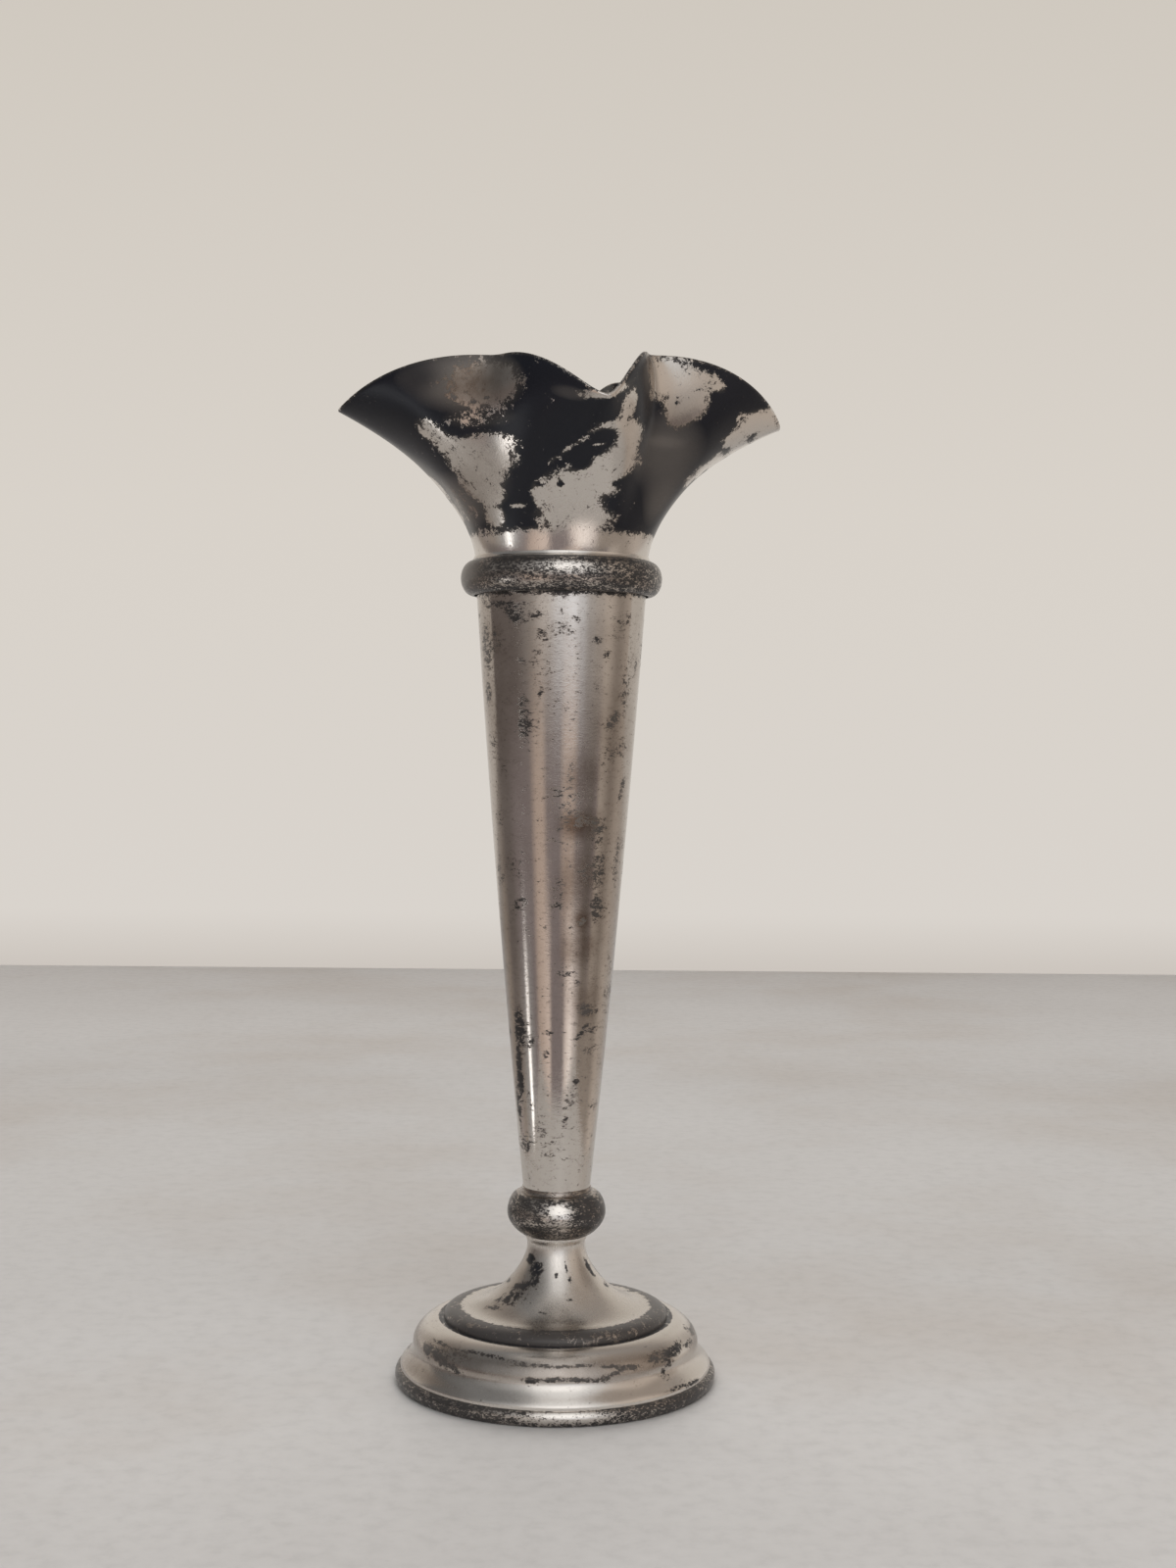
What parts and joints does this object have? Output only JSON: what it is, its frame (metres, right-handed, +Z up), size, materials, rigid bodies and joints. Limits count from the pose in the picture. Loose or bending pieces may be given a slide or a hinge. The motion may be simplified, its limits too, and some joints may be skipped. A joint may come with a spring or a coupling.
{
  "type": "bud vase",
  "caption": "Slender bud vase of tarnished silver-plated metal with a flared lobed mouth, tapering tube, round knop and weighted two-tier foot.",
  "frame": {"origin": "on the vase's axis, at the level of the surface it stands on", "axes": "+Z up along the vase's axis, -Y towards the front of the picture, +X to the right of the picture"},
  "size_m": [0.0877, 0.071, 0.2024],
  "materials": {
    "wire_plate": "polished silver plate, tarnished dark at the sides",
    "base_metal": "dull silver-plated sheet",
    "loading_fill": "dark cast filler",
    "dome_plate": "polished silver plate with dark tarnish along the slope",
    "cone_plate": "polished silver plate with dark tarnish patches",
    "knop_plate": "polished silver plate, mottled with dark tarnish",
    "tube_plate": "polished silver plate, lightly pitted and scratched",
    "collar_plate": "polished silver plate, densely speckled with tarnish",
    "mouth_plate": "silver plate tarnished blue-black, rubbed bright in patches"
  },
  "bodies": {
    "root": {"foot_wire": "wire_plate", "base_plate": "base_metal", "loading": "loading_fill", "foot_dome": "dome_plate", "foot_cone": "cone_plate", "knop": "knop_plate", "tube": "tube_plate", "collar": "collar_plate", "mouth": "mouth_plate"}
  },
  "joints": []
}
